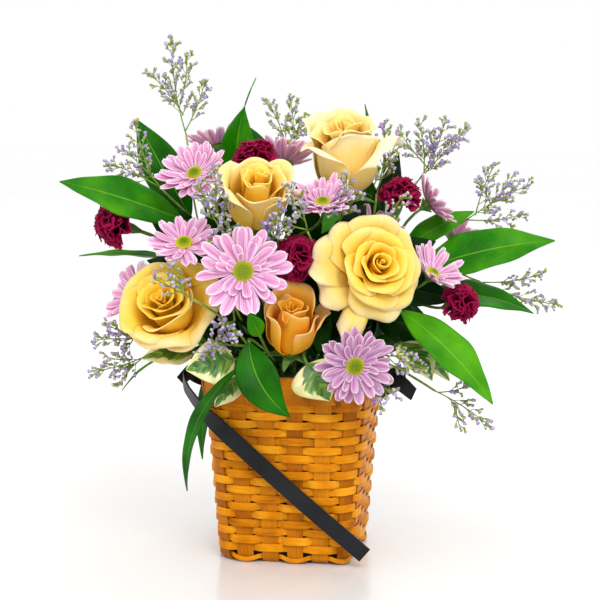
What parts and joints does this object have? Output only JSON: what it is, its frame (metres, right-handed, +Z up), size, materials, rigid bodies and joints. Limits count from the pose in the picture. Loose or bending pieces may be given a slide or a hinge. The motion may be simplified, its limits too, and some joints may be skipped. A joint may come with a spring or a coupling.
{
  "type": "flower basket arrangement",
  "caption": "Square woven wood basket with a lined foam core, holding roses, daisies, small carnations, sea lavender and leaves, with black straps on side rings.",
  "frame": {"origin": "middle of the basket's foot, on the surface it stands on", "axes": "+Z up, -Y the basket's front, which the strap crosses, +X towards the right-hand ring"},
  "size_m": [0.3781, 0.2582, 0.4033],
  "materials": {
    "woven_wood": "satin honey-coloured chip wood",
    "rim_wood": "satin honey-coloured chip wood, a little darker",
    "liner": "thin dark green plastic",
    "foam": "wet floral foam, matt and porous",
    "black_metal": "glossy black",
    "strap": "black imitation leather, satin",
    "green_stem": "fresh green stem, matt",
    "peach_petal": "soft petal, pale peach with a golden heart",
    "golden_petal": "soft petal, golden yellow to orange",
    "pink_petal": "soft petal, lilac pink with lighter edges",
    "magenta_petal": "soft ruffled petal, deep magenta",
    "green_leaf": "glossy dark green leaf",
    "cream_leaf": "glossy green leaf with cream edges",
    "sea_lavender": "dry violet florets on fine green twigs"
  },
  "bodies": {
    "root": {"basket": "woven_wood", "carnation_left": "magenta_petal", "carnation_middle": "magenta_petal", "carnation_right": "magenta_petal", "carnation_stem_left": "green_stem", "carnation_stem_middle": "green_stem", "carnation_stem_right": "green_stem", "carnation_upper": "magenta_petal", "carnation_upper_right": "magenta_petal", "cream_leaves_front": "cream_leaf", "cream_leaves_left": "cream_leaf", "cream_leaves_right": "cream_leaf", "daisy_back_left": "pink_petal", "daisy_back_middle": "pink_petal", "daisy_back_right": "pink_petal", "daisy_far_left": "pink_petal", "daisy_front": "pink_petal", "daisy_left": "pink_petal", "daisy_low_right": "pink_petal", "daisy_middle": "pink_petal", "daisy_right": "pink_petal", "daisy_right_side": "pink_petal", "daisy_stem_front": "green_stem", "daisy_stem_left": "green_stem", "daisy_stem_low_right": "green_stem", "daisy_stem_middle": "green_stem", "daisy_stem_right": "green_stem", "daisy_upper_left": "pink_petal", "foam": "foam", "lavender_front": "sea_lavender", "lavender_low_left": "sea_lavender", "lavender_low_right": "sea_lavender", "lavender_middle": "sea_lavender", "lavender_right": "sea_lavender", "lavender_top": "sea_lavender", "lavender_top_left": "sea_lavender", "lavender_top_right": "sea_lavender", "leaves_back": "green_leaf", "leaves_front": "green_leaf", "leaves_left": "green_leaf", "leaves_low_left": "green_leaf", "leaves_right": "green_leaf", "leaves_top": "green_leaf", "liner": "liner", "rim_band": "rim_wood", "rim_inner": "rim_wood", "ring_left": "black_metal", "ring_right": "black_metal", "rose_bud": "golden_petal", "rose_bud_stem": "green_stem", "rose_left": "peach_petal", "rose_left_stem": "green_stem", "rose_right": "peach_petal", "rose_right_stem": "green_stem", "rose_top": "peach_petal", "rose_top_stem": "green_stem", "rose_upper_left": "golden_petal", "rose_upper_left_stem": "green_stem", "strap_left": "strap", "strap_right": "strap"}
  },
  "joints": []
}
